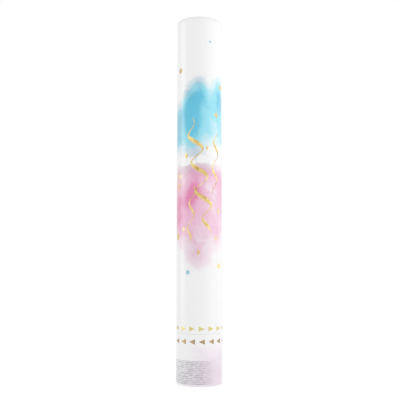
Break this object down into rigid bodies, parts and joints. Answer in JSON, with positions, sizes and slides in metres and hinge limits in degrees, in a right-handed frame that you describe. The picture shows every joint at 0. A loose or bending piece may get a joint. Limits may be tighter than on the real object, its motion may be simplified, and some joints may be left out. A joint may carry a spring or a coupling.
{
  "type": "confetti popper",
  "caption": "Twist-to-fire confetti popper: printed card barrel turning on a short grip, with a cam release, an air can, a wad, tissue confetti and a push-in muzzle cap.",
  "frame": {"origin": "centre of the foot, on the surface that the popper stands on", "axes": "+Z along the tube, from the grip to the muzzle; -Y is the printed front"},
  "size_m": [0.05, 0.05, 0.4],
  "materials": {
    "card_tube": "wound grey-brown card",
    "label": "satin film-laminated paper",
    "cap_plastic": "fine moulded satin",
    "base_plastic": "fine moulded satin",
    "cam_plastic": "moulded acetal",
    "collar_plastic": "moulded satin",
    "can_metal": "drawn, brushed round",
    "block_plastic": "turned nylon",
    "seal_rubber": "matt",
    "valve_brass": "turned",
    "steel": "drawn",
    "plug_plastic": "turned nylon",
    "liner_card": "wound card",
    "gold_foil": "hot-stamped foil on the label",
    "wad_felt": "pressed fibre board",
    "tissue": "fine crinkled tissue"
  },
  "bodies": {
    "base": {"grip_tube": "card_tube", "grip_label": "label", "base_plug": "base_plastic", "cam_hub": "cam_plastic", "cam_sleeve": "cam_plastic"},
    "barrel": {"launch_tube": "card_tube", "barrel_label": "label", "swivel_collar": "collar_plastic", "gas_can": "can_metal", "valve_block": "block_plastic", "block_seal": "seal_rubber", "rod_seal": "seal_rubber", "fill_valve_body": "valve_brass", "fill_valve_spring": "steel", "fill_valve_clip": "valve_brass", "centring_ring": "collar_plastic", "spacer_tube": "liner_card"},
    "release": {"release_rod": "steel", "cross_pin": "steel", "outlet_plug": "plug_plastic", "plug_seal": "seal_rubber"},
    "fill_poppet": {"fill_valve_poppet": "valve_brass", "fill_valve_washer": "seal_rubber"},
    "load": {"wad": "wad_felt", "confetti_stack_1": "tissue", "confetti_stack_2": "tissue", "confetti_stack_3": "tissue"},
    "cap": {"muzzle_cap": "cap_plastic"}
  },
  "joints": [
    {"name": "twist", "type": "hinge", "parent": "base", "child": "barrel", "pos_m": [0, 0, 0.0534], "axis": [0, 0, 1], "range_deg": [0, 90]},
    {"name": "release_lift", "type": "slide", "parent": "barrel", "child": "release", "axis": [0, 0, 1], "range_m": [0, 0.008]},
    {"name": "fill_poppet_lift", "type": "slide", "parent": "barrel", "child": "fill_poppet", "axis": [0, 0, 1], "range_m": [0, 0.0015], "stiffness_N_per_m": 100, "springref_m": -0.01, "deforming": ["fill_valve_spring"]},
    {"name": "load_launch", "type": "slide", "parent": "barrel", "child": "load", "axis": [0, 0, 1], "range_m": [0, 0.26]},
    {"name": "cap_pop", "type": "slide", "parent": "barrel", "child": "cap", "axis": [0, 0, 1], "range_m": [0, 0.325]}
  ],
  "couplings": [
    {"joint": "release_lift", "follows": "twist", "m_per_rad": 0.0050929},
    {"joint": "cap_pop", "follows": "load_launch", "ratio": 1.25}
  ]
}
